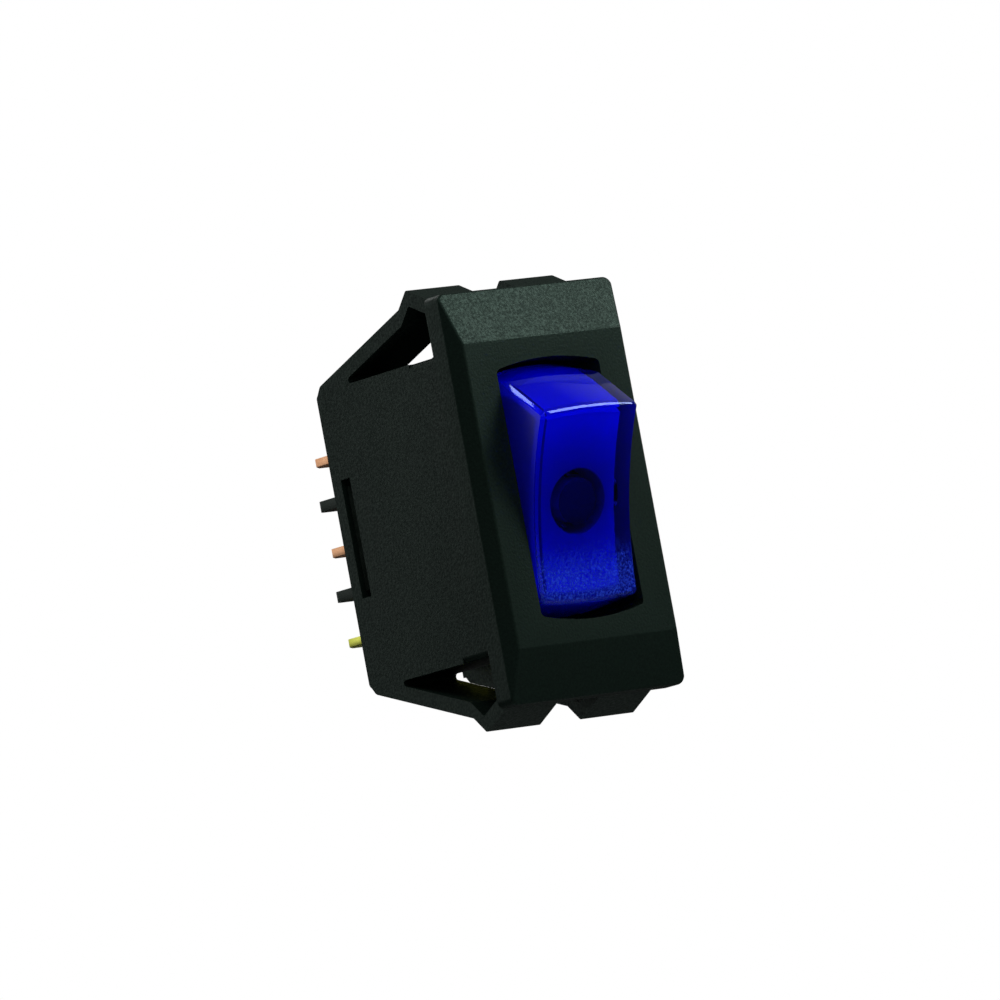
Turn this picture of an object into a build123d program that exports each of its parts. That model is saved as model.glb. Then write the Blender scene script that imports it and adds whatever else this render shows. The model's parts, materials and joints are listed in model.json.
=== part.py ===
from build123d import *
import os
from math import atan, cos, degrees, radians, sin, tan

# Illuminated rocker switch for a rectangular panel hole, with three blade terminals.
# Millimetres. X runs across the bezel, Y goes back through the panel, and Z runs along the
# bezel. The origin is the centre of the bezel's back face, which seats on the panel.
# The rocker is at one end of its travel: its upper end stands out, its lower end is pressed.

# Clearances
running_gap = 0.05          # radial, between a shaft and its hole
slip_gap = 0.1              # between mouldings that slide together
tab_gap = 0.05              # between a blade and its slot
stop_gap = 0.3              # left where two pieces come near each other in use

# Rounded ends
dome_step = 30              # degrees between their rings

# Bezel
bezel_length = 38.1
bezel_width = 20.1
bezel_height = 3.5
bezel_edge_height = 2.1     # height of the rim, where the bevels start
bezel_end_bevel = 4.95      # length of the slope at each end
bezel_side_bevel = 0.92
bezel_corner_radius = 0.8
bezel_edge_radius = 0.3

# Opening in the bezel, and the well behind it
opening_width = 11.82
opening_length = 22.76      # between corners
opening_bow = 0.75          # how far each end bulges past its corners
opening_corner_radius = 0.5
well_depth = 6.2
stop_ledge_width = 1.38     # how far each ledge that stops the rocker reaches in
stop_ledge_thickness = 1.2

# Body and its chamber
body_width = 16.9
body_length = 27.8
body_corner_radius = 0.6
side_wall = 1.25
end_wall = 2.7
base_stop_size = 1.0        # square ribs that the terminal base seats on
base_stop_inset = 1.7       # from the chamber's ends

# Snap prongs: two at each end of the body, given by depth and by rise above the end wall
prong_gap = 4.8
prong_wall = 1.5
prong_tip_depth = 0.5
prong_crest_depth = 4.4
prong_crest_rise = 6.66
prong_knee_depth = 6.0
prong_knee_rise = 5.1
prong_root_inset = 0.8      # from the body's rear
prong_root_rise = 0.55
prong_ramp_angle = 26.0
prong_root_drop = 0.5
prong_root_radius = 0.7
prong_bend_radius = 0.3

# Channel in each end wall, between the prongs
channel_depth = 1.35

# Latches: slots in the long walls, ridges on the terminal base
latch_slot_length = 11.1
latch_slot_width = 1.4
latch_slot_inset = 1.4      # from the body's rear
latch_end_gap = 0.65
latch_ridge_height = 0.85

# Rocker, in its own frame: length along Z, height towards the front
pivot_depth = 0.36          # pivot behind the bezel's back face
rocker_tilt = 17.2          # either side of level
rocker_side_gap = 0.36      # to the opening
rocker_end_gap = 0.48
rocker_face_height = 6.76   # of the face's two end edges above the pivot
rocker_face_inset = 2.2     # slope of each end face
rocker_face_bow = 0.3
rocker_face_sag = 1.1
rocker_base_height = 1.15
rocker_skirt_depth = 2.2    # skirt below the pivot
rocker_wall = 1.4
rocker_roof = 1.7
rocker_edge_chamfer = 0.3
trunnion_radius = 1.5
trunnion_reach = 1.4
trunnion_chamfer = 0.4
hub_radius = 3.1
hub_tip_radius = 2.9
hub_depth = 4.5
hub_roof = 1.66             # plastic left between the bore and the face

# Plunger and its spring
plunger_radius = 2.1
plunger_rim_height = 2.4
plunger_bore_radius = 1.5
plunger_floor_depth = 4.6
plunger_shoulder_depth = 4.8
plunger_neck_depth = 7.2
plunger_nose_radius = 1.3
plunger_gap = 0.2           # to the contact bar as the rocker passes level
spring_radius = 1.15        # to the middle of the wire
spring_wire = 0.45
spring_turns = 5

# Contact bar, level in its own frame, rocking on the supply terminal's front edge
fulcrum_depth = 14.0        # behind the bezel's back face
fulcrum_height = 3.7        # above the terminal base
bar_tilt = 6.0
bar_width = 5.0
bar_end_margin = 1.5        # past the contact
bar_thickness = 0.8
bar_flat_length = 3.0
bar_wing_end = 5.0
bar_wing_slope = 0.3
bar_edge_gap = 0.12         # fulcrum centre to the bar's rear face
bar_corner_radius = 0.8
bar_notch_length = 1.8
bar_notch_depth = 0.6

# Contacts
contact_place = 6.9         # from the fulcrum, along the bar
contact_radius = 1.5
contact_height = 0.9
contact_crown = 0.2
contact_shank_radius = 0.8
contact_tail_radius = 1.1
contact_tail_height = 0.3
closed_gap = 0.2

# Blade terminals
tab_width = 6.35
tab_thickness = 0.8
tab_pitch = 8.53
tab_reach = 10.0            # behind the body
tab_chamfer = 1.0
tab_hole_radius = 0.9
tab_hole_inset = 3.9
horn_width = 0.9
horn_height = 1.3
pad_margin = 1.7            # past the contact's centre
lug_margin = 0.7            # past the resistor's lead
lug_length = 2.0

# Terminal base
base_thickness = 2.8
base_rear_inset = 0.2
barrier_thickness = 1.0
barrier_width = 9.4
barrier_reach = 8.0         # behind the body
barrier_corner_radius = 0.8
boss_margin = 1.0           # of the boss round the supply blade
boss_height = 2.3
post_width = 3.2
post_length = 1.8

# Ground clip
clip_width = 4.0
clip_thickness = 0.5
clip_outer_length = 8.7
clip_leaf_width = 2.2
clip_leaf_margin = 0.8      # past the lamp's lead

# Lamp, its holder, resistor and sleeve
lamp_place = 7.0            # below the middle
lamp_radius = 1.5
lamp_length = 5.3
lamp_flange_radius = 1.92
lamp_flange_height = 1.0
lead_radius = 0.25
lead_pitch = 2.54
lead_bend_radius = 0.6
lead_drop = 0.85            # behind the shelf, to the lead that runs across
shelf_gap = 0.2             # behind the stop ledges
shelf_thickness = 1.0
collar_height = 0.7
collar_wall = 0.33
leg_gap = 0.125             # beside the ground terminal's foot
leg_width = 1.2
leg_length = 1.5
resistor_gap = 1.5          # beside the contact bar
resistor_radius = 0.9
resistor_waist = 0.75
resistor_length = 3.4
resistor_place = -0.3       # of its middle, along the switch
sleeve_length = 2.3
sleeve_radius = 0.5

# Sizes worked out from the ones above
half_body = body_length / 2
half_chamber = half_body - end_wall
chamber_width = body_width - 2 * side_wall
chamber_front = well_depth + stop_ledge_thickness
channel_floor = half_body - channel_depth
base_front = fulcrum_depth + fulcrum_height
base_rear = base_front + base_thickness
body_depth = base_rear + base_rear_inset
prong_root_depth = body_depth - prong_root_inset
latch_ridge_length = latch_slot_length - 2 * latch_end_gap
rocker_width = opening_width - 2 * rocker_side_gap
rocker_base_length = opening_length - 2 * rocker_end_gap
rocker_face_length = rocker_base_length - 2 * rocker_face_inset
rocker_face_middle = rocker_face_height - rocker_face_sag
hub_bore_top = rocker_face_middle - hub_roof
bar_length = 2 * (contact_place + bar_end_margin)
bar_rise = bar_wing_slope * (bar_wing_end - bar_flat_length / 2)
bar_front_depth = fulcrum_depth - bar_edge_gap - bar_thickness
bar_end_rear_depth = fulcrum_depth - bar_edge_gap - bar_rise
plunger_reach = bar_front_depth - plunger_gap - pivot_depth
tab_tip_depth = body_depth + tab_reach
pad_inner_place = contact_place - pad_margin
barrier_place = tab_pitch / 2
barrier_tip_depth = body_depth + barrier_reach
clip_inner_face = half_chamber - clip_thickness
shelf_depth = chamber_front + shelf_gap
shelf_rear = shelf_depth + shelf_thickness
shelf_width = tab_width + 2 * (leg_gap + leg_width)
collar_radius = lamp_flange_radius + running_gap + collar_wall
lead_depth = shelf_rear + lead_drop
resistor_side = bar_width / 2 + resistor_gap + resistor_radius


def block(x, y, z):
    """A box between two limits along each axis."""
    low = Vector(x[0], y[0], z[0])
    high = Vector(x[1], y[1], z[1])
    size = high - low
    return Pos(*((low + high) / 2)) * Box(*size)


def across(profile, width):
    """Extrude a profile drawn in depth and height to both sides of the middle."""
    return extrude(Plane.YZ * profile, amount=width / 2, both=True)


def through(outline, front, rear):
    """Extrude an outline drawn in width and height from one depth to another."""
    return extrude(Plane.XZ.offset(-rear) * outline, amount=rear - front)


def rod(radius, front, rear, x=0.0, z=0.0):
    """A round rod along the depth."""
    return Pos(x, 0, z) * through(Circle(radius), front, rear)


def turned(points, depth=0.0, z=0.0):
    """Turn a profile, given as radius and depth, round an axis along the depth."""
    profile = make_face(Polyline([(r, d, 0) for r, d in points], close=True))
    return Pos(0, depth, z) * revolve(profile, Axis.Y)


def dome(radius, depth, towards):
    """Profile points of a half-round end, from rim to tip, towards the front (-1) or the rear (1)."""
    turns = [radians(turn) for turn in range(0, 91, dome_step)]
    return [(radius * cos(turn), depth + towards * radius * sin(turn)) for turn in turns]


def bowed_outline(width, length, bow):
    """A rectangle whose two ends bulge past its corners."""
    x, z = width / 2, length / 2
    sides = Line((-x, -z), (-x, z)) + Line((x, z), (x, -z))
    ends = ThreePointArc((-x, z), (0, z + bow), (x, z)) + ThreePointArc((x, -z), (0, -z - bow), (-x, -z))
    return make_face(sides + ends)


def rocked(part):
    """Turn a part from the rocker's level frame to its place in the switch."""
    return Pos(0, pivot_depth, 0) * Rot(rocker_tilt, 0, 0) * part


def bar_rocked(part):
    """Turn a part from the contact bar's level frame to its closed place."""
    return Pos(0, fulcrum_depth, 0) * Rot(-bar_tilt, 0, 0) * Pos(0, -fulcrum_depth, 0) * part


def bent_wire(points):
    """A round wire along straight runs joined by arcs."""
    path = FilletPolyline(*points, radius=lead_bend_radius)
    start = Plane(origin=path @ 0, z_dir=path % 0)
    return sweep(start * RegularPolygon(lead_radius, 8), path=path)


# Housing


def bezel():
    side = Polyline(
        (0, -bezel_length / 2),
        (-bezel_edge_height, -bezel_length / 2),
        (-bezel_height, -bezel_length / 2 + bezel_end_bevel),
        (-bezel_height, bezel_length / 2 - bezel_end_bevel),
        (-bezel_edge_height, bezel_length / 2),
        (0, bezel_length / 2),
        close=True,
    )
    half = bezel_width / 2
    end = Polyline(
        (-half, 0),
        (-half, -bezel_edge_height),
        (-half + bezel_side_bevel, -bezel_height),
        (half - bezel_side_bevel, -bezel_height),
        (half, -bezel_edge_height),
        (half, 0),
        close=True,
    )
    plate = across(make_face(side), bezel_width) & extrude(make_face(end), amount=bezel_length / 2, both=True)
    corners = plate.edges().filter_by(Axis.Y)
    plate = fillet(corners, bezel_corner_radius)
    front_edges = plate.faces().filter_by(lambda f: f.normal_at().Y < -0.5).edges()
    return fillet(front_edges, bezel_edge_radius)


def prong_profile():
    """One prong from the side: root, strut, crest and the ramp that grips the panel."""
    crest = half_body + prong_crest_rise
    knee = half_body + prong_knee_rise
    root = half_body + prong_root_rise
    tip = crest - tan(radians(prong_ramp_angle)) * (prong_crest_depth - prong_tip_depth)
    strut_slope = (knee - root) / (prong_root_depth - prong_knee_depth)
    inner_root_depth = prong_root_depth - (prong_wall - prong_root_rise) / strut_slope
    outline = Polyline(
        (body_depth, half_body - prong_root_drop),
        (prong_root_depth, root),
        (prong_knee_depth, knee),
        (prong_crest_depth, crest),
        (prong_tip_depth, tip),
        (prong_tip_depth, tip - prong_wall),
        (prong_crest_depth, crest - prong_wall),
        (prong_knee_depth, knee - prong_wall),
        (inner_root_depth, half_body),
        (prong_knee_depth, half_body),
        (prong_knee_depth, channel_floor),
        (body_depth, channel_floor),
        close=True,
    )
    profile = make_face(outline)
    root_corner = profile.vertices().sort_by_distance((prong_root_depth, root, 0))[0]
    profile = fillet(root_corner, prong_root_radius)
    bends = [
        profile.vertices().sort_by_distance((depth, height, 0))[0]
        for depth, height in (
            (prong_knee_depth, knee),
            (prong_crest_depth, crest),
            (prong_crest_depth, crest - prong_wall),
            (prong_knee_depth, knee - prong_wall),
            (inner_root_depth, half_body),
        )
    ]
    return fillet(bends, prong_bend_radius)


def prongs():
    pair = across(prong_profile(), body_width)
    return pair + mirror(pair, about=Plane.XY)


def end_channels():
    """The gap between each pair of prongs, cut into the end wall behind the bezel."""
    reach = prong_crest_rise + channel_depth
    cut = block((-prong_gap / 2, prong_gap / 2), (0, body_depth), (channel_floor, channel_floor + reach))
    return cut + mirror(cut, about=Plane.XY)


def well():
    outline = bowed_outline(opening_width, opening_length, opening_bow)
    outline = fillet(outline.vertices(), opening_corner_radius)
    return through(outline, -bezel_height, well_depth)


def chamber():
    half_width = opening_width / 2
    half_length = opening_length / 2 - stop_ledge_width
    throat = block((-half_width, half_width), (well_depth, chamber_front), (-half_length, half_length))
    half_width = chamber_width / 2
    room = block((-half_width, half_width), (chamber_front, body_depth), (-half_chamber, half_chamber))
    return throat + room


def base_stops():
    """Four ribs in the chamber's corners that the terminal base seats against."""
    wall = chamber_width / 2
    outer = half_chamber - base_stop_inset
    rib = block((wall - base_stop_size, wall), (chamber_front, base_front), (outer - base_stop_size, outer))
    ribs = rib + mirror(rib, about=Plane.XY)
    return ribs + mirror(ribs, about=Plane.YZ)


def latch_slots():
    rear = body_depth - latch_slot_inset
    return block(
        (-body_width / 2, body_width / 2),
        (rear - latch_slot_width, rear),
        (-latch_slot_length / 2, latch_slot_length / 2),
    )


def pivot_sockets():
    reach = opening_width / 2 + trunnion_reach
    return Pos(0, pivot_depth, 0) * Rot(0, 90, 0) * Cylinder(trunnion_radius + running_gap, 2 * reach)


def housing():
    body = block((-body_width / 2, body_width / 2), (0, body_depth), (-half_body, half_body))
    body = fillet(body.edges().filter_by(Axis.Y), body_corner_radius)
    shell = bezel() + body + prongs()
    shell -= end_channels()
    shell -= well() + chamber() + latch_slots() + pivot_sockets()
    clip_seat = block(
        (-prong_gap / 2, prong_gap / 2),
        (base_rear - clip_thickness, body_depth),
        (-half_body, -half_chamber),
    )
    return shell - clip_seat + base_stops()


# Terminal base


def blade_slot(z):
    half_width = tab_width / 2 + tab_gap
    low, high = z - tab_thickness / 2 - tab_gap, z + tab_thickness / 2 + tab_gap
    return block((-half_width, half_width), (fulcrum_depth, base_rear), (low, high))


def barrier(z):
    reach = barrier_tip_depth - base_rear
    outline = Pos(base_rear + reach / 2, 0) * Rectangle(reach, barrier_width)
    tip = outline.vertices().sort_by(Axis.X)[-2:]
    outline = fillet(tip, barrier_corner_radius)
    plate = extrude(Plane.XY * Rot(0, 0, 90) * outline, amount=barrier_thickness / 2, both=True)
    return Pos(0, 0, z) * plate


def latch_ridges():
    wall = chamber_width / 2 - slip_gap
    rear = body_depth - latch_slot_inset - slip_gap
    front = rear - latch_slot_width + 2 * slip_gap
    wedge = make_face(Polyline((wall, front), (wall + latch_ridge_height, rear), (wall, rear), close=True))
    ridge = extrude(wedge, amount=latch_ridge_length / 2, both=True)
    return ridge + mirror(ridge, about=Plane.YZ)


def supports():
    """What stands in front of the base plate: a boss, the load pad's pillar, and the bar's stop."""
    boss_side = tab_width / 2 + boss_margin
    boss_end = tab_thickness / 2 + boss_margin
    boss = block((-boss_side, boss_side), (base_front - boss_height, base_front), (-boss_end, boss_end))
    pillar = block(
        (-tab_width / 2, tab_width / 2),
        (load_pad_front() + tab_thickness, base_front),
        (pad_inner_place, tab_pitch + boss_end),
    )
    lowered = bar_length / 2 * sin(radians(bar_tilt))
    post = block(
        (-post_width / 2, post_width / 2),
        (bar_end_rear_depth + lowered + stop_gap, base_front),
        (-contact_place - post_length / 2, -contact_place + post_length / 2),
    )
    return boss + pillar + post


def terminal_base():
    half_width = chamber_width / 2 - slip_gap
    half_length = half_chamber - slip_gap
    plate = block((-half_width, half_width), (base_front, base_rear), (-half_length, half_length))
    base = plate + supports() + latch_ridges() + barrier(barrier_place) + barrier(-barrier_place)
    for z in (-tab_pitch, 0, tab_pitch):
        base -= blade_slot(z)
    pad_rear = load_pad_front() + tab_thickness
    tail_room = contact_tail_height + stop_gap
    base -= rod(contact_tail_radius + stop_gap, pad_rear, pad_rear + tail_room, z=contact_place)
    clip_notch = block(
        (-prong_gap / 2, prong_gap / 2), (base_front, base_rear), (-half_chamber, -clip_inner_face)
    )
    return base - clip_notch


# Blade terminals


def blade(front):
    """A flat blade from a given depth to its chamfered tip, with its detent hole."""
    outline = Pos((front + tab_tip_depth) / 2, 0) * Rectangle(tab_tip_depth - front, tab_width)
    tip = outline.vertices().sort_by(Axis.X)[-2:]
    outline = chamfer(tip, tab_chamfer)
    outline -= Pos(tab_tip_depth - tab_hole_inset, 0) * Circle(tab_hole_radius)
    return extrude(Plane.XY * Rot(0, 0, 90) * outline, amount=tab_thickness / 2, both=True)


def supply_terminal():
    """The middle blade. The contact bar rocks on its rounded front edge, between two horns."""
    edge_radius = tab_thickness / 2
    strip = blade(fulcrum_depth)
    edge_length = tab_width - 2 * horn_width
    edge = Pos(0, fulcrum_depth, 0) * Rot(0, 90, 0) * Cylinder(edge_radius, edge_length)
    tall = block(
        (tab_width / 2 - horn_width, tab_width / 2),
        (fulcrum_depth - bar_edge_gap - horn_height, fulcrum_depth),
        (-edge_radius, edge_radius),
    )
    return strip + edge + tall + mirror(tall, about=Plane.YZ)


def load_pad_front():
    """Depth of the load terminal's pad, behind the closed contacts."""
    moving_face = bar_end_rear_depth + contact_height - fulcrum_depth
    closed = fulcrum_depth + moving_face * cos(radians(bar_tilt)) + contact_place * sin(radians(bar_tilt))
    return closed + closed_gap + contact_height


def load_terminal():
    """The upper blade, bent over into a pad for the fixed contact, with a solder lug."""
    front = load_pad_front()
    outer = tab_pitch + tab_thickness / 2
    strip = Pos(0, 0, tab_pitch) * blade(front)
    pad = block((-tab_width / 2, tab_width / 2), (front, front + tab_thickness), (pad_inner_place, outer))
    lug_side = resistor_side + lug_margin
    lug = block((tab_width / 2, lug_side), (front, front + tab_thickness), (outer - lug_length, outer))
    hole = rod(contact_shank_radius + running_gap, front, front + tab_thickness, z=contact_place)
    return strip + pad + lug - hole


def ground_terminal():
    """The lower blade, bent over into a foot that bears on the ground clip."""
    front = base_front - tab_thickness
    strip = Pos(0, 0, -tab_pitch) * blade(front)
    foot = block(
        (-tab_width / 2, tab_width / 2),
        (front, base_front),
        (-clip_inner_face, -tab_pitch + tab_thickness / 2),
    )
    return strip + foot


# Contacts


def contact_rivet(face_depth, z, shank_length, towards):
    """A rivet with a bevelled head at face_depth. Its shank runs forwards (-1) or back (1)."""
    crown_radius = contact_radius - 2 * contact_crown
    tail_end = -shank_length - contact_tail_height
    outline = [
        (0, tail_end),
        (contact_tail_radius, tail_end),
        (contact_tail_radius, -shank_length),
        (contact_shank_radius, -shank_length),
        (contact_shank_radius, 0),
        (contact_radius, 0),
        (contact_radius, contact_height - contact_crown),
        (crown_radius, contact_height),
        (0, contact_height),
    ]
    rivet = turned(outline)
    if towards > 0:
        rivet = mirror(rivet, about=Plane.XZ)
    return Pos(0, face_depth + towards * contact_height, z) * rivet


def moving_contact():
    seat = bar_end_rear_depth
    return bar_rocked(contact_rivet(seat + contact_height, contact_place, bar_thickness, -1))


def fixed_contact():
    return contact_rivet(load_pad_front() - contact_height, contact_place, tab_thickness, 1)


# Contact bar


def contact_bar():
    """A shallow gull-winged strip with a groove across its rear face."""
    rear = fulcrum_depth - bar_edge_gap
    wing = [(bar_flat_length / 2, 0), (bar_wing_end, bar_rise), (bar_length / 2, bar_rise)]
    rear_line = [(rear - rise, z) for z, rise in wing]
    front_line = [(y - bar_thickness, z) for y, z in rear_line]
    half = rear_line + front_line[::-1]
    other = [(y, -z) for y, z in half]
    profile = make_face(Polyline(half + other[::-1], close=True))
    strip = across(profile, bar_width)
    strip = fillet(strip.edges().filter_by(Axis.Y), bar_corner_radius)
    groove = Pos(0, fulcrum_depth, 0) * Rot(0, 90, 0) * Cylinder(tab_thickness / 2 + running_gap, bar_width)
    half_width = bar_width / 2
    notch = block(
        (half_width - bar_notch_depth, half_width),
        (rear - bar_thickness, rear),
        (-bar_notch_length / 2, bar_notch_length / 2),
    )
    bar_end_front = bar_front_depth - bar_rise
    hole = rod(contact_shank_radius + running_gap, bar_end_front, bar_end_rear_depth, z=contact_place)
    return bar_rocked(strip - groove - notch - mirror(notch, about=Plane.YZ) - hole)


# Rocker


def rocker_block(inset):
    """The rocker's outer form, or the same form drawn in on every side but the rear."""
    width = rocker_width - 2 * inset
    length = rocker_base_length - 2 * inset
    top = rocker_face_height + rocker_face_sag
    block = through(bowed_outline(width, length, opening_bow), -top, rocker_skirt_depth)
    lean = atan(rocker_face_inset / (rocker_face_height - rocker_base_height))
    sloped = through(bowed_outline(width, 2 * length, rocker_face_bow), -length, length)
    sloped = Rot(degrees(lean), 0, 0) * Pos(0, 0, -length) * sloped
    sloped = Pos(0, -rocker_base_height, length / 2) * sloped
    return block & sloped & mirror(sloped, about=Plane.XY)


def face_cutter(roof):
    """A big cylinder that leaves the concave face, or the same surface under a roof."""
    half = rocker_face_length / 2
    radius = (half**2 + rocker_face_sag**2) / (2 * rocker_face_sag)
    return Pos(0, -rocker_face_middle - radius, 0) * Rot(0, 90, 0) * Cylinder(radius + roof, rocker_width + 2)


def hub():
    """The boss under the face that guides the plunger."""
    top = rocker_roof / 2 - rocker_face_middle
    return turned([(0, hub_depth), (hub_tip_radius, hub_depth), (hub_radius, 0), (hub_radius, top), (0, top)])


def trunnions():
    root = (rocker_width - rocker_wall) / 2
    reach = rocker_width / 2 + trunnion_reach
    pin = Cylinder(trunnion_radius, reach - root)
    pin = chamfer(pin.edges().sort_by(Axis.Z)[-1:], trunnion_chamfer)
    pin = Pos((root + reach) / 2, 0, 0) * Rot(0, 90, 0) * pin
    return pin + mirror(pin, about=Plane.YZ)


def rocker():
    outer = rocker_block(0) - face_cutter(0)
    below_edges = -rocker_base_height - rocker_edge_chamfer
    face_edges = outer.edges().filter_by(lambda edge: edge.center().Y < below_edges)
    outer = chamfer(face_edges, rocker_edge_chamfer)
    hollow = rocker_block(rocker_wall) - face_cutter(rocker_roof)
    bore = rod(plunger_radius + running_gap, -hub_bore_top, hub_depth)
    return rocked(outer - hollow + hub() - bore + trunnions())


# Plunger


def plunger():
    """A thimble with a long nose. Its spring pushes it out of the rocker's hub."""
    outline = [
        (0, -plunger_rim_height),
        (plunger_radius, -plunger_rim_height),
        (plunger_radius, plunger_shoulder_depth),
        (plunger_nose_radius, plunger_neck_depth),
    ]
    nose = dome(plunger_nose_radius, plunger_reach - plunger_nose_radius, 1)
    body = turned(outline + nose)
    return rocked(body - rod(plunger_bore_radius, -plunger_rim_height, plunger_floor_depth))


def plunger_spring():
    length = hub_bore_top + plunger_floor_depth - spring_wire - 2 * running_gap
    path = Helix(pitch=length / spring_turns, height=length, radius=spring_radius)
    start = Plane(origin=path @ 0, z_dir=path % 0)
    coil = sweep(start * RegularPolygon(spring_wire / 2, 4), path=path)
    return rocked(Pos(0, plunger_floor_depth - spring_wire / 2 - running_gap, 0) * Rot(90, 0, 0) * coil)


# Lamp circuit


def lamp():
    """A round lamp that faces the rocker, with one straight lead and one bent aside."""
    rear = shelf_depth
    front = rear - lamp_length
    outline = [
        (0, rear),
        (lamp_flange_radius, rear),
        (lamp_flange_radius, rear - lamp_flange_height),
        (lamp_radius, rear - lamp_flange_height),
    ]
    body = turned(outline + dome(lamp_radius, front + lamp_radius, -1))
    side = lead_pitch / 2
    start = rear - lamp_flange_height / 2
    bulb = body + rod(lead_radius, start, lead_depth, x=-side)
    bulb += bent_wire([(side, start, 0), (side, lead_depth, 0), (resistor_side + lead_radius, lead_depth, 0)])
    return Pos(0, 0, -lamp_place) * bulb


def lamp_holder():
    """A shelf on two legs, with a collar round the lamp's flange."""
    side = shelf_width / 2
    outer = -clip_inner_face + slip_gap
    collar_front = shelf_depth - collar_height
    shelf = block((-side, side), (shelf_depth, shelf_rear), (outer, collar_radius - lamp_place))
    collar = rod(collar_radius, collar_front, shelf_depth, z=-lamp_place)
    collar -= rod(lamp_flange_radius + running_gap, collar_front, shelf_depth, z=-lamp_place)
    leg = block((side - leg_width, side), (shelf_rear, base_front), (outer, outer + leg_length))
    lead_hole = rod(lead_radius + running_gap, shelf_depth, shelf_rear, x=lead_pitch / 2, z=-lamp_place)
    holder = shelf + collar + leg + mirror(leg, about=Plane.YZ)
    return holder - lead_hole - mirror(lead_hole, about=Plane.YZ)


def ground_clip():
    """A strip hooked over the lower end wall, with a leaf that reaches in to the lamp's lead."""
    outer_face = channel_floor + clip_thickness
    half_width = clip_width / 2
    clip_outer_front = base_rear - clip_outer_length
    leaf_end = lamp_place - clip_leaf_margin
    leaf_rear = shelf_rear + clip_thickness
    wide = (-half_width, half_width)
    inner_leg = block(wide, (shelf_rear, base_rear), (-half_chamber, -clip_inner_face))
    bridge = block(wide, (base_rear - clip_thickness, base_rear), (-outer_face, -clip_inner_face))
    outer_leg = block(wide, (clip_outer_front, base_rear), (-outer_face, -channel_floor))
    leaf_side = -half_width + clip_leaf_width
    leaf = block((-half_width, leaf_side), (shelf_rear, leaf_rear), (-clip_inner_face, -leaf_end))
    hole = rod(lead_radius + running_gap, shelf_rear, leaf_rear, x=-lead_pitch / 2, z=-lamp_place)
    return inner_leg + bridge + outer_leg + leaf - hole


def resistor():
    """An axial resistor beside the bar, from the lamp's lead to the load terminal's lug."""
    half = resistor_length / 2
    body = Cylinder(resistor_radius, resistor_length)
    body -= Cylinder(resistor_radius, half) - Cylinder(resistor_waist, half)
    lower_length = resistor_place + lamp_place - lead_radius
    lower = Pos(0, 0, -lower_length / 2) * Cylinder(lead_radius, lower_length)
    lug_rise = tab_pitch + (tab_thickness - lug_length) / 2 - resistor_place
    upper = bent_wire([(0, 0, half / 2), (0, 0, lug_rise), (0, load_pad_front() - lead_depth, lug_rise)])
    return Pos(resistor_side, lead_depth, resistor_place) * (body + lower + upper)


def lead_sleeve():
    middle = (lead_pitch / 2 + lead_bend_radius + resistor_side - resistor_radius) / 2
    tube = Cylinder(sleeve_radius, sleeve_length) - Cylinder(lead_radius + running_gap, sleeve_length)
    return Pos(middle, lead_depth, -lamp_place) * Rot(0, 90, 0) * tube


pieces = {
    "housing": housing,
    "terminal_base": terminal_base,
    "rocker": rocker,
    "plunger": plunger,
    "plunger_spring": plunger_spring,
    "contact_bar": contact_bar,
    "moving_contact": moving_contact,
    "fixed_contact": fixed_contact,
    "load_terminal": load_terminal,
    "supply_terminal": supply_terminal,
    "ground_terminal": ground_terminal,
    "ground_clip": ground_clip,
    "lamp": lamp,
    "lamp_holder": lamp_holder,
    "resistor": resistor,
    "lead_sleeve": lead_sleeve,
}

os.makedirs("parts", exist_ok=True)
for name, make in pieces.items():
    export_step(make(), f"parts/{name}.step")
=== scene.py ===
import json
import math

import bpy
from mathutils import Matrix, Vector

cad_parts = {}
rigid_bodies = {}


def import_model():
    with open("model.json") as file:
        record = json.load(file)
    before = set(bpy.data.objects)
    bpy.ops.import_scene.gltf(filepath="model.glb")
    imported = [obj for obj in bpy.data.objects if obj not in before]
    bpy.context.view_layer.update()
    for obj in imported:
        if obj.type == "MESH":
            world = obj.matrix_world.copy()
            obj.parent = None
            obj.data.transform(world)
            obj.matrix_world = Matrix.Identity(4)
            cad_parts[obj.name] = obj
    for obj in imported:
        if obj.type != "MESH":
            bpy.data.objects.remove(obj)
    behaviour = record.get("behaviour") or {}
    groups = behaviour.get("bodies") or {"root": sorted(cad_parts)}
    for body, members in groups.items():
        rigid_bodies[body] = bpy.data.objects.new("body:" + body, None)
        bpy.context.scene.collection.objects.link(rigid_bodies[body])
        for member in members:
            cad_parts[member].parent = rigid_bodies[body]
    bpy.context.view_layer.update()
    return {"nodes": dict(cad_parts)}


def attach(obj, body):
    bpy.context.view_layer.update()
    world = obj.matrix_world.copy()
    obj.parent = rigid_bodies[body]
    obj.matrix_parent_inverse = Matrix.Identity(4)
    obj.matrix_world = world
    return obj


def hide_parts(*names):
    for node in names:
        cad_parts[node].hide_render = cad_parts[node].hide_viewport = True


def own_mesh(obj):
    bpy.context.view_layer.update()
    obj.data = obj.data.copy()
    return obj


# An illuminated rocker switch that snaps into a panel. A black bezel and body carry a
# translucent blue rocker. A see-saw contact, a small lamp and its resistor sit inside, and
# three flat blades for push-on receptacles stick out behind. Lengths are in metres.
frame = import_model()


# Housing. Bezel, body and snap prongs are one moulding in black glass-filled nylon. Its
# mould was spark eroded, so every outside face is dull and finely grained, and the edges
# that come off the mould are a little rounded.


def linear(code):
    """An sRGB hex colour as the linear one that a shader takes."""
    parts = [int(code[i : i + 2], 16) / 255 for i in (0, 2, 4)]
    return [c / 12.92 if c <= 0.04045 else ((c + 0.055) / 1.055) ** 2.4 for c in parts] + [1]


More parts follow.
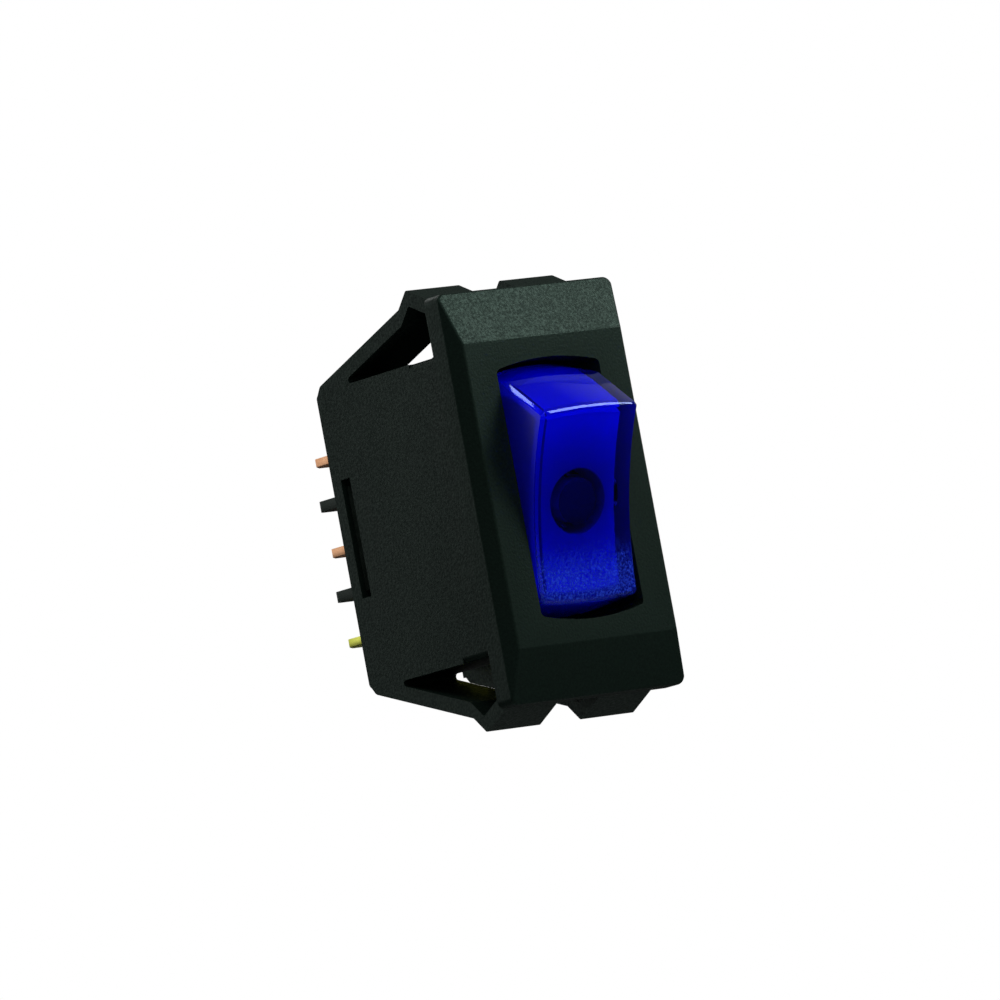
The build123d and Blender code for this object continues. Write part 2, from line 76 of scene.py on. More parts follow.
def node(material, kind, inputs=None, stops=(), **settings):
    """Adds a shader node. Inputs are links or values by socket, stops are a colour ramp's
    positions and hex colours, and settings are the node's own, or its sockets' by name."""
    tree = material.node_tree
    made = tree.nodes.new(kind)
    for name, value in settings.items():
        if hasattr(made, name):
            setattr(made, name, value)
        else:
            made.inputs[name.replace("_", " ")].default_value = value
    for socket, source in (inputs or {}).items():
        if isinstance(source, bpy.types.NodeSocket):
            tree.links.new(source, made.inputs[socket])
        else:
            made.inputs[socket].default_value = source
    if stops:
        elements = made.color_ramp.elements
        while len(elements) < len(stops):
            elements.new(0.5)
        for element, (position, code) in zip(elements, stops):
            element.position, element.color = position, linear(code)
    return made


def new_material(name):
    """An empty material with nodes."""
    material = bpy.data.materials.new(name)
    material.use_nodes = True
    material.node_tree.nodes.clear()
    return material


def dress(name, cad_node, body, material, bevel=0.0, bend=20):
    """A merged copy of a CAD node with its edges broken, in a material, in the node's place."""
    merge_distance, flat_angle = 2e-6, 0.6
    bpy.ops.object.select_all(action="DESELECT")
    piece = frame["nodes"][cad_node].copy()
    piece.data = piece.data.copy()
    piece.name = piece.data.name = name
    bpy.context.scene.collection.objects.link(piece)
    piece.select_set(True)
    bpy.context.view_layer.objects.active = piece
    bpy.ops.object.parent_clear(type="CLEAR_KEEP_TRANSFORM")
    bpy.ops.mesh.customdata_custom_splitnormals_clear()
    bpy.ops.object.mode_set(mode="EDIT")
    bpy.ops.mesh.select_all(action="SELECT")
    bpy.ops.mesh.remove_doubles(threshold=merge_distance)
    bpy.ops.mesh.dissolve_limited(angle_limit=math.radians(flat_angle))
    bpy.ops.object.mode_set(mode="OBJECT")
    if bevel:
        edge = piece.modifiers.new("broken edges", "BEVEL")
        edge.width = bevel
        edge.segments = 3
        edge.limit_method = "ANGLE"
        edge.angle_limit = math.radians(bend)
        bpy.ops.object.modifier_apply(modifier=edge.name)
    bpy.ops.object.shade_smooth_by_angle(angle=math.radians(bend))
    piece.data.materials.clear()
    piece.data.materials.append(material)
    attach(piece, body)
    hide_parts(cad_node)
    return piece


# Glass-filled nylon off a spark eroded mould looks nearly black, with a dull and broken shine.
# Real pits are under 0.1 mm across. They are drawn 0.25 mm across, so that they show.
pit_size, blotch_size, pit_depth = 0.00025, 0.004, 0.00003
grained_black = new_material("eroded_black_nylon")
place = node(grained_black, "ShaderNodeTexCoord").outputs["Object"]
grain = node(
    grained_black,
    "ShaderNodeTexNoise",
    {"Vector": place},
    Scale=1 / pit_size,
    Detail=2.0,
    Roughness=0.6,
).outputs["Fac"]
blotch = node(
    grained_black, "ShaderNodeTexNoise", {"Vector": place}, Scale=1 / blotch_size, Detail=3.0
).outputs["Fac"]
tone = node(
    grained_black,
    "ShaderNodeValToRGB",
    {"Fac": grain},
    stops=((0.35, "0e1613"), (0.7, "15201b")),
)
mixed = node(grained_black, "ShaderNodeMix", {"A": grain, "B": blotch}, Factor=0.12)
rough = node(
    grained_black,
    "ShaderNodeMapRange",
    {"Value": mixed.outputs["Result"]},
    From_Min=0.38,
    From_Max=0.62,
    To_Min=0.54,
    To_Max=0.36,
)
relief = node(grained_black, "ShaderNodeBump", {"Height": grain}, Strength=1.0, Distance=pit_depth)
skin = node(
    grained_black,
    "ShaderNodeBsdfPrincipled",
    {
        "Base Color": tone.outputs["Color"],
        "Roughness": rough.outputs["Result"],
        "Normal": relief.outputs["Normal"],
    },
    Specular_IOR_Level=0.13,
    Specular_Tint=linear("c4ffe6"),
)
node(grained_black, "ShaderNodeOutputMaterial", {"Surface": skin.outputs[0]})
dress(
    "housing_moulding", "housing", "root", grained_black, bevel=0.00012, bend=12
)


# Terminal base. The rear plate with its two barriers is moulded by itself in black phenolic.
# Its ridges snap into the slots in the body's long sides. A polished mould gives it a smoother
# and slightly paler face, with faint clouds and hardly any grain.
cloud_size, grain_size, grain_depth = 0.001, 0.000125, 0.00001
smooth_black = new_material("moulded_black_phenolic")
place = node(smooth_black, "ShaderNodeTexCoord").outputs["Object"]
cloud = node(
    smooth_black, "ShaderNodeTexNoise", {"Vector": place}, Scale=1 / cloud_size, Detail=3.0
)
tone = node(
    smooth_black,
    "ShaderNodeValToRGB",
    {"Fac": cloud.outputs["Fac"]},
    stops=((0.35, "141815"), (0.7, "222824")),
)
fine = node(
    smooth_black, "ShaderNodeTexNoise", {"Vector": place}, Scale=1 / grain_size, Detail=1.0
)
relief = node(
    smooth_black,
    "ShaderNodeBump",
    {"Height": fine.outputs["Fac"]},
    Strength=0.4,
    Distance=grain_depth,
)
skin = node(
    smooth_black,
    "ShaderNodeBsdfPrincipled",
    {"Base Color": tone.outputs["Color"], "Normal": relief.outputs["Normal"]},
    Roughness=0.4,
    Specular_IOR_Level=0.15,
    Specular_Tint=linear("c4ffe6"),
)
node(smooth_black, "ShaderNodeOutputMaterial", {"Surface": skin.outputs[0]})
dress(
    "terminal_base_moulding", "terminal_base", "root", smooth_black, bevel=0.00008
)


# Rocker. It is one hollow moulding in clear blue polycarbonate, whose two trunnions snap into
# the housing. The outside is polished, and use has scuffed its lower end. The inside is matt,
# and the end of the plunger's bore carries a dark disc of painted shade, for the shaded hub behind
# it.
pivot = Vector((0, 0.00036, 0))
rest_tilt = math.radians(-17.2)
level = Matrix.Rotation(rest_tilt, 4, "X") @ Matrix.Translation(-pivot)
polycarbonate_ior = 1.58

# Polished polycarbonate is clear, with sharp highlights. The scuffs begin scuff_top below the
# middle and are full at scuff_full. They are 0.2 mm apart, duller and paler, and let less through.
scuff_size, scuff_depth = 0.0002, 0.00006
scuff_top, scuff_full, dull_full = -0.002, -0.008, -0.007
clear_blue = new_material("polished_blue_polycarbonate")
place = node(clear_blue, "ShaderNodeTexCoord").outputs["Object"]
height = node(clear_blue, "ShaderNodeSeparateXYZ", {"Vector": place}).outputs["Z"]
pits = node(
    clear_blue, "ShaderNodeTexNoise", {"Vector": place}, Scale=1 / scuff_size, Detail=1.5
).outputs["Fac"]
rubbed = node(
    clear_blue, "ShaderNodeMapRange", {"Value": height}, From_Min=scuff_top, From_Max=scuff_full
).outputs["Result"]
dull = node(
    clear_blue,
    "ShaderNodeMapRange",
    {"Value": height},
    From_Min=scuff_top,
    From_Max=dull_full,
    To_Min=0.06,
    To_Max=0.2,
)
relief = node(
    clear_blue, "ShaderNodeBump", {"Height": pits, "Strength": rubbed}, Distance=scuff_depth
)
scuffs = node(
    clear_blue, "ShaderNodeMath", {0: pits, 1: rubbed}, operation="MULTIPLY"
).outputs[0]
tone = node(
    clear_blue,
    "ShaderNodeValToRGB",
    {"Fac": scuffs},
    stops=((0.25, "0510f8"), (0.65, "2e54ff")),
)
frost = node(
    clear_blue,
    "ShaderNodeMapRange",
    {"Value": scuffs},
    From_Min=0.25,
    From_Max=0.65,
    To_Min=1.0,
    To_Max=0.5,
)
skin = node(
    clear_blue,
    "ShaderNodeBsdfPrincipled",
    {
        "Base Color": tone.outputs["Color"],
        "Normal": relief.outputs["Normal"],
        "Roughness": dull.outputs["Result"],
        "Transmission Weight": frost.outputs["Result"],
    },
    Specular_Tint=linear("9cb8ff"),
    IOR=polycarbonate_ior,
)
node(clear_blue, "ShaderNodeOutputMaterial", {"Surface": skin.outputs[0]})

# Matt polycarbonate off the core scatters the light and hides what is inside. Its colour is darker
# near the middle, a painted shade for the solid hub that stands behind it. Its pits are 0.4 mm
# across, coarser than real ones, so that they show.
core_pit_size, core_pit_depth = 0.0004, 0.00004
hub_shade_reach, hub_shade_clear = 0.004, 0.009
matt_blue = new_material("matt_blue_polycarbonate")
place = node(matt_blue, "ShaderNodeTexCoord").outputs["Object"]
pits = node(
    matt_blue, "ShaderNodeTexNoise", {"Vector": place}, Scale=1 / core_pit_size, Detail=2.0
)
relief = node(
    matt_blue,
    "ShaderNodeBump",
    {"Height": pits.outputs["Fac"]},
    Strength=0.6,
    Distance=core_pit_depth,
)
reach = node(matt_blue, "ShaderNodeVectorMath", {0: place}, operation="LENGTH")
painted_hub_shade = node(
    matt_blue,
    "ShaderNodeMapRange",
    {"Value": reach.outputs["Value"]},
    From_Min=hub_shade_reach,
    From_Max=hub_shade_clear,
)
# Painted hub shade: darker blue within 4 mm of the middle, full colour beyond 9 mm.
tone = node(
    matt_blue,
    "ShaderNodeValToRGB",
    {"Fac": painted_hub_shade.outputs["Result"]},
    stops=((0.0, "060b90"), (1.0, "0810ee")),
)
skin = node(
    matt_blue,
    "ShaderNodeBsdfPrincipled",
    {"Base Color": tone.outputs["Color"], "Normal": relief.outputs["Normal"]},
    Roughness=0.5,
    Transmission_Weight=0.2,
    IOR=polycarbonate_ior,
)
node(matt_blue, "ShaderNodeOutputMaterial", {"Surface": skin.outputs[0]})

# The long sides are taken as rubbed by the well: hazy, with a soft and slightly uneven shine.
# The haze is drawn 0.4 mm across, so that it shows.
haze_size = 0.0004
hazy_blue = new_material("hazy_blue_polycarbonate")
place = node(hazy_blue, "ShaderNodeTexCoord").outputs["Object"]
haze = node(hazy_blue, "ShaderNodeTexNoise", {"Vector": place}, Scale=1 / haze_size, Detail=2.0)
rough = node(
    hazy_blue,
    "ShaderNodeMapRange",
    {"Value": haze.outputs["Fac"]},
    From_Min=0.3,
    From_Max=0.7,
    To_Min=0.36,
    To_Max=0.44,
)
skin = node(
    hazy_blue,
    "ShaderNodeBsdfPrincipled",
    {"Roughness": rough.outputs["Result"]},
    Base_Color=linear("0510e0"),
    Transmission_Weight=0.7,
    IOR=polycarbonate_ior,
)
node(hazy_blue, "ShaderNodeOutputMaterial", {"Surface": skin.outputs[0]})

# The painted shade at the end of the bore is nearly black and even, mottled over patches about 0.8
# mm across.
shade_mottle_size = 0.0008
bore_shade_disc = new_material("painted_bore_shade")
place = node(bore_shade_disc, "ShaderNodeTexCoord").outputs["Object"]
shade_mottle = node(
    bore_shade_disc, "ShaderNodeTexNoise", {"Vector": place}, Scale=1 / shade_mottle_size, Detail=2.0
)
tone = node(
    bore_shade_disc,
    "ShaderNodeValToRGB",
    {"Fac": shade_mottle.outputs["Fac"]},
    stops=((0.35, "07080c"), (0.7, "0c0e13")),
)
skin = node(
    bore_shade_disc,
    "ShaderNodeBsdfPrincipled",
    {"Base Color": tone.outputs["Color"]},
    Roughness=0.3,
    IOR=1.48,
)
node(bore_shade_disc, "ShaderNodeOutputMaterial", {"Surface": skin.outputs[0]})

rocker = dress("rocker_moulding", "rocker", "rocker", clear_blue, bevel=0.00009)
for material in (matt_blue, hazy_blue, bore_shade_disc):
    rocker.data.materials.append(material)
polished, matt, hazy, bore_shaded = range(4)
face_centre_depth, face_radius, roof_thickness = -0.04061, 0.03495, 0.0008
inner_half_width, inner_rear_depth, end_margin = 0.00485, 0.0021, 0.0002
end_half_length, end_taper, taper_depth, taper_run = 0.0109, 0.0022, -0.00115, 0.00561
bore_radius, bore_end, bore_margin = 0.00215, -0.004, 0.0002
square_to_side = 0.97
for face in rocker.data.polygons:
    x, depth, z = level @ face.center
    under_roof = math.hypot(depth - face_centre_depth, z) > face_radius + roof_thickness
    half_length = end_half_length - end_taper * max(0, taper_depth - depth) / taper_run
    within = (
        abs(x) < inner_half_width
        and abs(z) < half_length - end_margin
        and depth < inner_rear_depth
    )
    on_side = abs((level.to_3x3() @ face.normal).x) > square_to_side
    at_bore_end = math.hypot(x, z) < bore_radius and abs(depth - bore_end) < bore_margin
    # The end of the plunger's bore gets the dark disc of painted shade.
    if at_bore_end:
        face.material_index = bore_shaded
    elif on_side:
        face.material_index = hazy
    elif under_roof and within:
        face.material_index = matt
    else:
        face.material_index = polished


# Plunger. It is moulded in black acetal and slides in the rocker's hub, with its round nose on
# the contact bar. Acetal has a soft waxy shine, with rubbed patches about 0.8 mm across.
rub_size = 0.0008
plunger_black = new_material("black_acetal")
place = node(plunger_black, "ShaderNodeTexCoord").outputs["Object"]
rubbed = node(
    plunger_black, "ShaderNodeTexNoise", {"Vector": place}, Scale=1 / rub_size, Detail=2.0
)
tone = node(
    plunger_black,
    "ShaderNodeValToRGB",
    {"Fac": rubbed.outputs["Fac"]},
    stops=((0.3, "0c0c0c"), (0.8, "1a1a1a")),
)
skin = node(
    plunger_black,
    "ShaderNodeBsdfPrincipled",
    {"Base Color": tone.outputs["Color"]},
    Roughness=0.3,
    IOR=1.48,
)
node(plunger_black, "ShaderNodeOutputMaterial", {"Surface": skin.outputs[0]})
dress("plunger_moulding", "plunger", "plunger", plunger_black, bevel=0.0001)


# Plunger spring. It is coiled from round spring steel wire and stands in the plunger, pushing
# against the end of the hub's bore. In the real switch it shortens as the plunger slides in; here
# it is one fixed coil that moves with the rocker.
wire_radius, coil_radius, coil_turns, coil_length = 0.000225, 0.00115, 5, 0.00805
coil_rear_depth, coil_front_depth = 0.004325, -0.00395
wire_sides, steps_per_turn = 12, 28
bpy.ops.object.select_all(action="DESELECT")
bpy.ops.mesh.primitive_circle_add(
    vertices=wire_sides,
    radius=wire_radius,
    location=(coil_radius, 0, 0),
    rotation=(math.radians(90), 0, 0),
)
spring = bpy.context.active_object
spring.name = spring.data.name = "plunger_spring_wire"
bpy.ops.object.transform_apply()
coil = spring.modifiers.new("coil", "SCREW")
coil.steps = coil.render_steps = steps_per_turn
coil.iterations = coil_turns
coil.screw_offset = coil_length / coil_turns
bpy.ops.object.modifier_apply(modifier=coil.name)
bpy.ops.object.mode_set(mode="EDIT")
bpy.ops.mesh.select_all(action="DESELECT")
bpy.ops.mesh.select_mode(type="EDGE")
bpy.ops.mesh.select_non_manifold()
bpy.ops.mesh.edge_face_add()
bpy.ops.mesh.select_all(action="SELECT")
bpy.ops.mesh.normals_make_consistent(inside=False)
bpy.ops.object.mode_set(mode="OBJECT")
stand = Matrix.Translation((0, coil_rear_depth, 0)) @ Matrix.Rotation(math.radians(90), 4, "X")
spring.matrix_world = level.inverted() @ stand
bpy.ops.object.transform_apply()
bpy.ops.object.shade_smooth_by_angle(angle=math.radians(40))

# Drawn spring steel is a mid grey metal, with streaks drawn 0.4 mm wide so that they show.
streak_size = 0.0004
spring_steel = new_material("drawn_spring_steel")
place = node(spring_steel, "ShaderNodeTexCoord").outputs["Object"]
streaks = node(
    spring_steel, "ShaderNodeTexNoise", {"Vector": place}, Scale=1 / streak_size, Detail=2.0
)
tone = node(
    spring_steel,
    "ShaderNodeValToRGB",
    {"Fac": streaks.outputs["Fac"]},
    stops=((0.35, "8b8e90"), (0.65, "b5b8ba")),
)
skin = node(
    spring_steel,
    "ShaderNodeBsdfPrincipled",
    {"Base Color": tone.outputs["Color"]},
    Roughness=0.3,
    Metallic=1.0,
)
node(spring_steel, "ShaderNodeOutputMaterial", {"Surface": skin.outputs[0]})
spring.data.materials.append(spring_steel)
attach(spring, "rocker")
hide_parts("plunger_spring")
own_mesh(spring)


# Contact bar and copper blades. They are blanked from rolled copper strip, 0.8 mm thick, and
# tumbled, so that their edges are just broken. Rolling leaves fine lines along the strip, and
# handling leaves a faint tarnish.
def rolled_strip(name, dark, light, roughness):
    """Strip metal with rolling lines along the depth, 0.1 mm apart, and patches of tarnish."""
    line_spacing, line_stretch, line_depth = 0.0001, 0.04, 0.000004
    tarnish_size = 0.0025
    material = new_material(name)
    place = node(material, "ShaderNodeTexCoord").outputs["Object"]
    along = node(
        material, "ShaderNodeMapping", {"Vector": place}, Scale=(1.0, line_stretch, 1.0)
    )
    lines = node(
        material,
        "ShaderNodeTexNoise",
        {"Vector": along.outputs["Vector"]},
        Scale=1 / line_spacing,
        Detail=2.0,
    )
    tarnish = node(
        material, "ShaderNodeTexNoise", {"Vector": place}, Scale=1 / tarnish_size, Detail=4.0
    ).outputs["Fac"]
    tone = node(
        material, "ShaderNodeValToRGB", {"Fac": tarnish}, stops=((0.3, dark), (0.7, light))
    )
    rough = node(
        material,
        "ShaderNodeMapRange",
        {"Value": tarnish},
        To_Min=roughness + 0.1,
        To_Max=roughness - 0.1,
    )
    relief = node(
        material,
        "ShaderNodeBump",
        {"Height": lines.outputs["Fac"]},
        Strength=0.3,
        Distance=line_depth,
    )
    skin = node(
        material,
        "ShaderNodeBsdfPrincipled",
        {
            "Base Color": tone.outputs["Color"],
            "Roughness": rough.outputs["Result"],
            "Normal": relief.outputs["Normal"],
        },
        Metallic=1.0,
    )
    node(material, "ShaderNodeOutputMaterial", {"Surface": skin.outputs[0]})
    return material


tumbled_edge = 0.00008
rolled_copper = rolled_strip("rolled_copper", "d8986a", "f4c096", 0.35)
dress(
    "contact_bar_strip", "contact_bar", "contact_bar", rolled_copper, bevel=tumbled_edge
)
for blade in ("load_terminal", "supply_terminal"):
    dress(f"{blade}_strip", blade, "root", rolled_copper, bevel=tumbled_edge)


# Ground terminal and ground clip. They are blanked and tumbled in the same way, but from rolled
# brass strip, a yellow metal with a green cast. The clip lies in a channel of the end wall.
rolled_brass = rolled_strip("rolled_brass", "c6cc4c", "e2e668", 0.33)
dress("ground_terminal_strip", "ground_terminal", "root", rolled_brass, bevel=tumbled_edge)
dress("ground_clip_strip", "ground_clip", "root", rolled_brass, bevel=0.00006)


# Contacts. Two rivets of silver alloy, headed cold in the bar and in the load terminal. They
# are bright, but arcing has left a faint grey bloom in patches about 0.8 mm across.
bloom_size = 0.0008
contact_silver = new_material("silver_alloy")
place = node(contact_silver, "ShaderNodeTexCoord").outputs["Object"]
bloom = node(
    contact_silver, "ShaderNodeTexNoise", {"Vector": place}, Scale=1 / bloom_size, Detail=4.0
).outputs["Fac"]
tone = node(
    contact_silver,
    "ShaderNodeValToRGB",
    {"Fac": bloom},
    stops=((0.35, "a9a9a4"), (0.65, "dcdcd8")),
)
rough = node(
    contact_silver,
    "ShaderNodeMapRange",
    {"Value": bloom},
    From_Min=0.3,
    From_Max=0.7,
    To_Min=0.45,
    To_Max=0.2,
)
skin = node(
    contact_silver,
    "ShaderNodeBsdfPrincipled",
    {"Base Color": tone.outputs["Color"], "Roughness": rough.outputs["Result"]},
    Metallic=1.0,
)
node(contact_silver, "ShaderNodeOutputMaterial", {"Surface": skin.outputs[0]})
for cad_node, body in (("moving_contact", "contact_bar"), ("fixed_contact", "root")):
    dress(f"{cad_node}_rivet", cad_node, body, contact_silver, bevel=0.00008)


# Lamp. A 3 mm round lamp is cast in clear resin over two tinned steel leads, and stands in its
# holder. Behind the flange only the leads show. Cast resin is glassy, with slow waves.
wave_size, wave_depth = 0.002, 0.00002
clear_resin = new_material("clear_cast_resin")
place = node(clear_resin, "ShaderNodeTexCoord").outputs["Object"]
waves = node(clear_resin, "ShaderNodeTexNoise", {"Vector": place}, Scale=1 / wave_size, Detail=1.0)
relief = node(
    clear_resin,
    "ShaderNodeBump",
    {"Height": waves.outputs["Fac"]},
    Strength=0.1,
    Distance=wave_depth,
)
skin = node(
    clear_resin,
    "ShaderNodeBsdfPrincipled",
    {"Normal": relief.outputs["Normal"]},
    Base_Color=linear("eef3f5"),
    Roughness=0.04,
    Transmission_Weight=1.0,
    IOR=1.5,
)
node(clear_resin, "ShaderNodeOutputMaterial", {"Surface": skin.outputs[0]})

# Dipped tin on steel wire is a soft grey metal with duller spots about 0.5 mm across.
spot_size = 0.0005
tinned_steel = new_material("tinned_steel_wire")
place = node(tinned_steel, "ShaderNodeTexCoord").outputs["Object"]
spots = node(tinned_steel, "ShaderNodeTexNoise", {"Vector": place}, Scale=1 / spot_size, Detail=2.0)
tone = node(
    tinned_steel,
    "ShaderNodeValToRGB",
    {"Fac": spots.outputs["Fac"]},
    stops=((0.35, "a6a7a5"), (0.65, "cfd0cd")),
)
skin = node(
    tinned_steel,
    "ShaderNodeBsdfPrincipled",
    {"Base Color": tone.outputs["Color"]},
    Roughness=0.35,
    Metallic=1.0,
)
node(tinned_steel, "ShaderNodeOutputMaterial", {"Surface": skin.outputs[0]})
lamp = dress("lamp_body", "lamp", "root", clear_resin, bend=40)
lamp.data.materials.append(tinned_steel)
flange_rear, lead_face_area, slack = 0.0076, 0.0000004, 0.00001
for face in lamp.data.polygons:
    front = min(lamp.data.vertices[corner].co.y for corner in face.vertices)
    if front > flange_rear - slack and face.area < lead_face_area:
        face.material_index = 1


# Lamp holder. A small shelf moulded in natural nylon, which stands on the base. It is off-white
# and slightly waxy, with clouds about 1.25 mm across.
cloud_size = 0.00125
natural_nylon = new_material("natural_nylon")
place = node(natural_nylon, "ShaderNodeTexCoord").outputs["Object"]
cloud = node(
    natural_nylon, "ShaderNodeTexNoise", {"Vector": place}, Scale=1 / cloud_size, Detail=3.0
)
tone = node(
    natural_nylon,
    "ShaderNodeValToRGB",
    {"Fac": cloud.outputs["Fac"]},
    stops=((0.3, "d3cfc0"), (0.7, "e4e1d5")),
)
skin = node(
    natural_nylon,
    "ShaderNodeBsdfPrincipled",
    {"Base Color": tone.outputs["Color"]},
    Roughness=0.45,
    Subsurface_Weight=0.15,
    Subsurface_Scale=0.001,
)
node(natural_nylon, "ShaderNodeOutputMaterial", {"Surface": skin.outputs[0]})
dress(
    "lamp_holder_moulding", "lamp_holder", "root", natural_nylon, bevel=0.0001
)


# Resistor. An axial carbon film resistor, dipped in tan lacquer, with four colour bands and
# tinned leads. The bands follow its length, which is upright. The lacquer shines, over soft
# runs about 1 mm across.
resistor_middle, resistor_half = -0.0003, 0.0017
lowest, highest = resistor_middle - resistor_half, resistor_middle + resistor_half
run_size, run_depth = 0.001, 0.00003
tan, brown, black, red, gold = "cdb489", "6b3a1e", "171717", "a3231c", "b8973e"
lacquer = new_material("lacquered_resistor")
place = node(lacquer, "ShaderNodeTexCoord").outputs["Object"]
height = node(lacquer, "ShaderNodeSeparateXYZ", {"Vector": place}).outputs["Z"]
share = node(
    lacquer, "ShaderNodeMapRange", {"Value": height}, From_Min=lowest, From_Max=highest
)
painted = node(
    lacquer,
    "ShaderNodeValToRGB",
    {"Fac": share.outputs["Result"]},
    stops=(
        (0.0, tan),
        (0.16, brown),
        (0.25, tan),
        (0.36, black),
        (0.45, tan),
        (0.55, red),
        (0.64, tan),
        (0.78, gold),
        (0.87, tan),
    ),
)
painted.color_ramp.interpolation = "CONSTANT"
runs = node(lacquer, "ShaderNodeTexNoise", {"Vector": place}, Scale=1 / run_size, Detail=2.0)
relief = node(
    lacquer, "ShaderNodeBump", {"Height": runs.outputs["Fac"]}, Strength=0.3, Distance=run_depth
)
skin = node(
    lacquer,
    "ShaderNodeBsdfPrincipled",
    {"Base Color": painted.outputs["Color"], "Normal": relief.outputs["Normal"]},
    Roughness=0.3,
)
node(lacquer, "ShaderNodeOutputMaterial", {"Surface": skin.outputs[0]})
resistor = dress("resistor_body", "resistor", "root", lacquer, bevel=0.00012)
resistor.data.materials.append(tinned_steel)
for face in resistor.data.polygons:
    if not lowest - slack < face.center.z < highest + slack:
        face.material_index = 1


# Sleeve on the lamp's lead. A short cut of fluoropolymer tube, pushed over the wire beside the
# moving bar. It is milky and slick, with clouds about 0.8 mm across.
cloud_size = 0.0008
milky_tube = new_material("fluoropolymer_tube")
place = node(milky_tube, "ShaderNodeTexCoord").outputs["Object"]
cloud = node(milky_tube, "ShaderNodeTexNoise", {"Vector": place}, Scale=1 / cloud_size, Detail=2.0)
tone = node(
    milky_tube,
    "ShaderNodeValToRGB",
    {"Fac": cloud.outputs["Fac"]},
    stops=((0.3, "dcdcd6"), (0.7, "ededea")),
)
skin = node(
    milky_tube,
    "ShaderNodeBsdfPrincipled",
    {"Base Color": tone.outputs["Color"]},
    Roughness=0.35,
    IOR=1.35,
)
node(milky_tube, "ShaderNodeOutputMaterial", {"Surface": skin.outputs[0]})
dress("lead_sleeve_tube", "lead_sleeve", "root", milky_tube, bevel=0.00005)


# Studio. A pale floor lies far below, in a dark room with a white backdrop that is seen straight
# on and through clear plastic. Mirrored rays meet it only low at the rear, with a soft pale card
# at the right. Of the soft lamps, the main one is high at the front right.
floor_drop, floor_width, floor_glow = 0.3, 0.5, 0.6
white = new_material("white_floor")
skin = node(white, "ShaderNodeBsdfDiffuse", Color=linear("e4e4e4"))
glow = node(white, "ShaderNodeEmission", Color=linear("ffffff"), Strength=1.0)
rays = node(white, "ShaderNodeLightPath")
shown = node(
    white, "ShaderNodeMath", {0: rays.outputs["Is Camera Ray"], 1: floor_glow}, operation="MULTIPLY"
)
mixed = node(
    white,
    "ShaderNodeMixShader",
    {"Fac": shown.outputs[0], 1: skin.outputs[0], 2: glow.outputs[0]},
)
node(white, "ShaderNodeOutputMaterial", {"Surface": mixed.outputs[0]})
bpy.ops.mesh.primitive_plane_add(size=floor_width, location=(0, 0, -floor_drop))
floor = bpy.context.active_object
floor.name = "studio_floor"
floor.data.materials.append(white)

backdrop_way, card_way = (-0.5, 0.87, 0.0), (0.845, 0.2, 0.497)
card_strength = 0.5
world = bpy.data.worlds.new("studio")
bpy.context.scene.world = world
world.use_nodes = True
world.node_tree.nodes.clear()
way = node(world, "ShaderNodeTexCoord").outputs["Generated"]
height = node(world, "ShaderNodeSeparateXYZ", {"Vector": way}).outputs["Z"]
room = node(
    world,
    "ShaderNodeMapRange",
    {"Value": height},
    From_Min=-0.1,
    From_Max=0.9,
    To_Min=0.03,
    To_Max=0.06,
)
facing = node(world, "ShaderNodeVectorMath", {0: way, 1: backdrop_way}, operation="DOT_PRODUCT")
behind = node(
    world, "ShaderNodeMapRange", {"Value": facing.outputs["Value"]}, From_Min=0.4, From_Max=0.85
)
below_top = node(world, "ShaderNodeMapRange", {"Value": height}, From_Min=0.3, From_Max=0.1)
above_foot = node(world, "ShaderNodeMapRange", {"Value": height}, From_Min=-0.05, From_Max=0.08)
banded = node(
    world,
    "ShaderNodeMath",
    {0: above_foot.outputs[0], 1: below_top.outputs[0]},
    operation="MULTIPLY",
)
backdrop = node(
    world, "ShaderNodeMath", {0: behind.outputs[0], 1: banded.outputs[0]}, operation="MULTIPLY"
)
beside = node(world, "ShaderNodeVectorMath", {0: way, 1: card_way}, operation="DOT_PRODUCT")
card = node(
    world,
    "ShaderNodeMapRange",
    {"Value": beside.outputs["Value"]},
    From_Min=0.92,
    From_Max=1.0,
    To_Min=0.0,
    To_Max=card_strength,
)
pale = node(
    world, "ShaderNodeMath", {0: backdrop.outputs[0], 1: card.outputs["Result"]}, operation="ADD"
)
rays = node(world, "ShaderNodeLightPath")
mirrored = node(
    world,
    "ShaderNodeMath",
    {0: pale.outputs[0], 1: rays.outputs["Is Glossy Ray"]},
    operation="MULTIPLY",
)
direct = node(
    world,
    "ShaderNodeMath",
    {0: rays.outputs["Is Camera Ray"], 1: rays.outputs["Is Transmission Ray"]},
    operation="MAXIMUM",
)
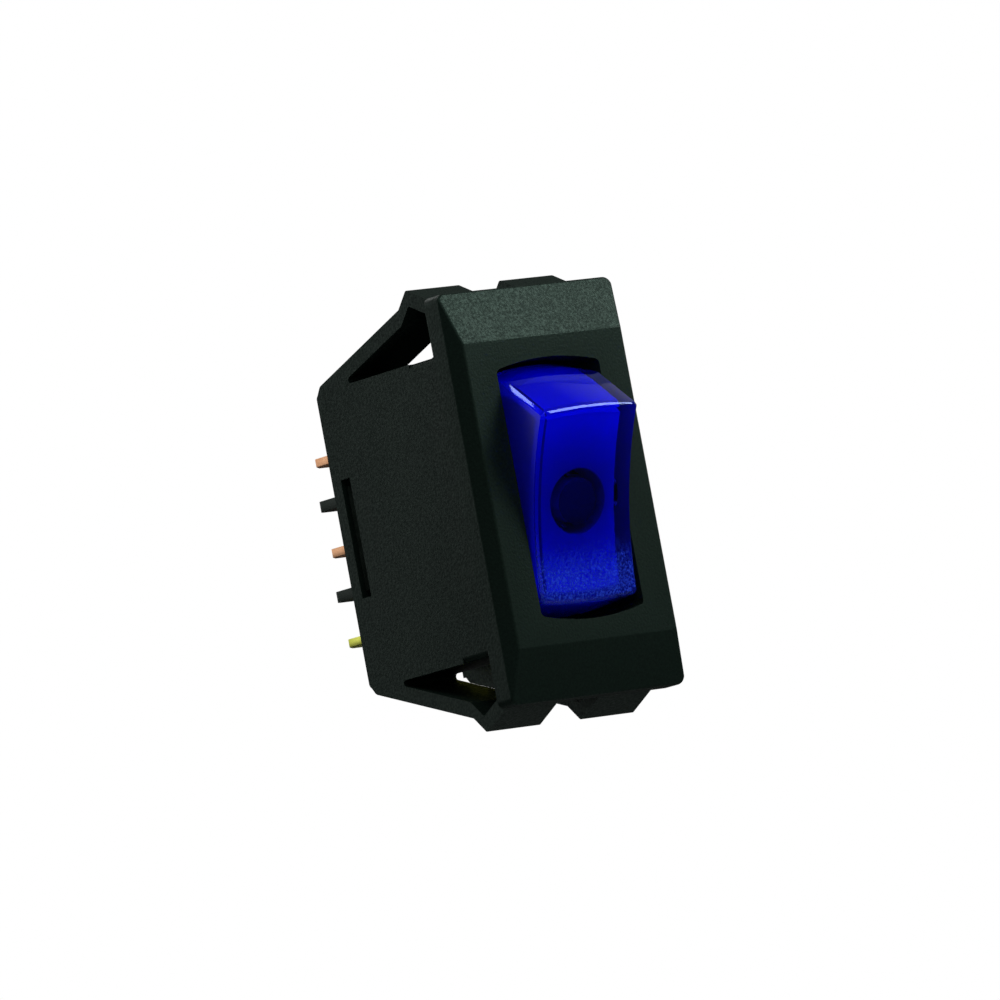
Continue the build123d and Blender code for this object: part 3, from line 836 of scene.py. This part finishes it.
shown = node(
    world, "ShaderNodeMath", {0: mirrored.outputs[0], 1: direct.outputs[0]}, operation="MAXIMUM"
)
dim = node(
    world, "ShaderNodeBackground", {"Strength": room.outputs["Result"]}, Color=linear("ffffff")
)
bright = node(world, "ShaderNodeBackground", Color=linear("ffffff"), Strength=1.0)
pick = node(
    world,
    "ShaderNodeMixShader",
    {"Fac": shown.outputs[0], 1: dim.outputs[0], 2: bright.outputs[0]},
)
node(world, "ShaderNodeOutputWorld", {"Surface": pick.outputs[0]})

# Each soft lamp is a square panel: its name, direction, distance, width and power in watts.
for name, direction, distance, width, power in (
    ("main", (0.55, -0.62, 0.56), 0.3, 0.14, 0.66),
    ("left_fill", (-0.2, -0.72, 0.66), 0.67, 0.4, 1.3),
    ("left_side", (-0.7, -0.7, 0.1), 0.6, 0.3, 0.2),
    ("left_rear", (-0.6, 0.7, 0.4), 0.6, 0.3, 0.3),
    ("right_side", (0.95, -0.05, 0.3), 0.6, 0.3, 0.5),
    ("rear_fill", (0.1, 0.75, 0.65), 0.7, 0.4, 0.7),
    ("overhead", (-0.42, 0.155, 0.88), 0.6, 0.14, 0.6),
):
    stand = distance * Vector(direction).normalized()
    aim = (-stand).to_track_quat("-Z", "Y").to_euler()
    bpy.ops.object.light_add(type="AREA", location=stand, rotation=aim)
    panel = bpy.context.active_object
    panel.name = name
    panel.data.size = width
    panel.data.energy = power

camera_distance, view_width, sensor = 1.2, 0.09121, 36
aim_left, aim_down = 0.004358, 0.000567
right = Vector((0.7892, -0.5867, -0.1816))
up = Vector((0.0943, -0.1764, 0.9798))
forward = up.cross(right)
middle = -aim_left * right - aim_down * up
bpy.ops.object.camera_add()
camera = bpy.context.active_object
camera.name = "view"
camera.data.sensor_width = sensor
camera.data.lens = sensor * camera_distance / view_width
camera.data.clip_end = 10
turn = Matrix((right, up, -forward)).transposed().to_4x4()
camera.matrix_world = Matrix.Translation(middle - camera_distance * forward) @ turn
bpy.context.scene.camera = camera

bpy.context.scene.view_settings.view_transform = "Standard"
